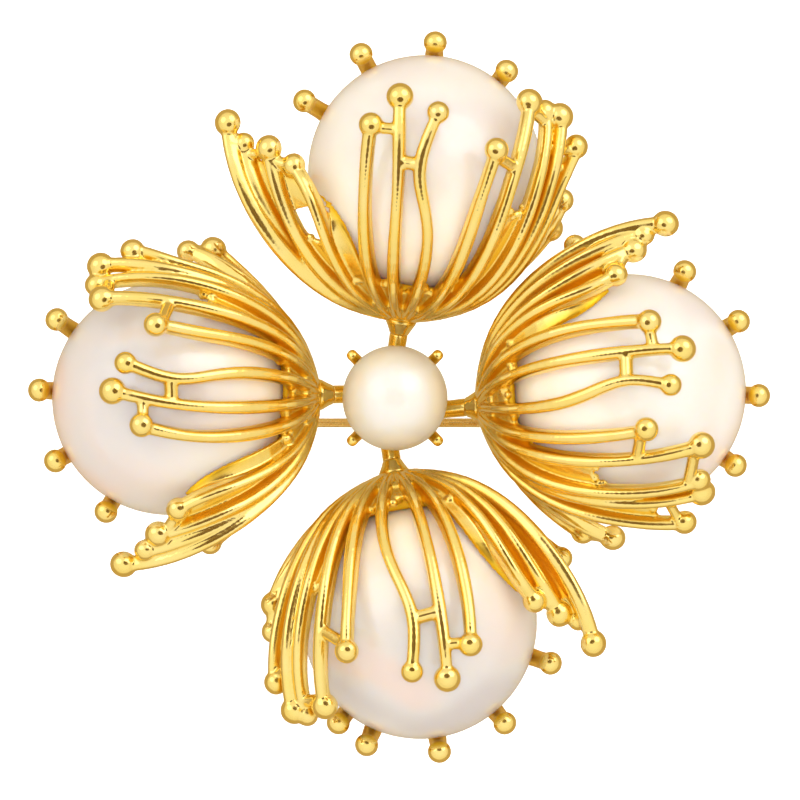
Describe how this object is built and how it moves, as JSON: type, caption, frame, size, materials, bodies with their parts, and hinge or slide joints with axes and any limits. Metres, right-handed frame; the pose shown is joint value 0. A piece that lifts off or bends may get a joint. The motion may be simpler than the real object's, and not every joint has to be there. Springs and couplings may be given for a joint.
{
  "type": "brooch",
  "caption": "Cross-shaped costume brooch: large pearls held in gilt cups of ball-tipped stamens round a small claw-set pearl, with a hinged pin and turning safety catch behind.",
  "frame": {"origin": "on the axis of the small middle pearl, level with the lowest point of the hinge and catch on the back", "axes": "+X to the right seen from the front, +Y to the top, +Z out of the face; the brooch lies on its back"},
  "size_m": [0.0742, 0.0732, 0.0337],
  "materials": {
    "gold": "polished",
    "findings_gold": "satin",
    "pearl": "gloss"
  },
  "bodies": {
    "brooch": {"top_stamen_cup": "gold", "top_pearl": "pearl", "top_prong_basket": "gold", "top_pearl_peg": "findings_gold", "top_collar": "gold", "left_stamen_cup": "gold", "left_pearl": "pearl", "left_prong_basket": "gold", "left_pearl_peg": "findings_gold", "left_collar": "gold", "bottom_stamen_cup": "gold", "bottom_pearl": "pearl", "bottom_prong_basket": "gold", "bottom_pearl_peg": "findings_gold", "bottom_collar": "gold", "right_stamen_cup": "gold", "right_pearl": "pearl", "right_prong_basket": "gold", "right_pearl_peg": "findings_gold", "right_collar": "gold", "centre_setting": "gold", "centre_pearl": "pearl", "centre_peg": "findings_gold", "hinge_pad": "findings_gold", "hinge_ears": "findings_gold", "hinge_rivet": "findings_gold", "catch_pad": "findings_gold", "catch_housing": "findings_gold"},
    "pin": {"pin_stem": "findings_gold"},
    "lock": {"catch_lock": "findings_gold"}
  },
  "joints": [
    {"name": "pin_hinge", "type": "hinge", "parent": "brooch", "child": "pin", "pos_m": [0.02, -0.0025, 0.002], "axis": [0, -1, 0], "range_deg": [0, 100]},
    {"name": "lock_turn", "type": "hinge", "parent": "brooch", "child": "lock", "pos_m": [-0.0195, -0.0025, 0.002], "axis": [1, 0, 0], "range_deg": [0, 150]}
  ]
}
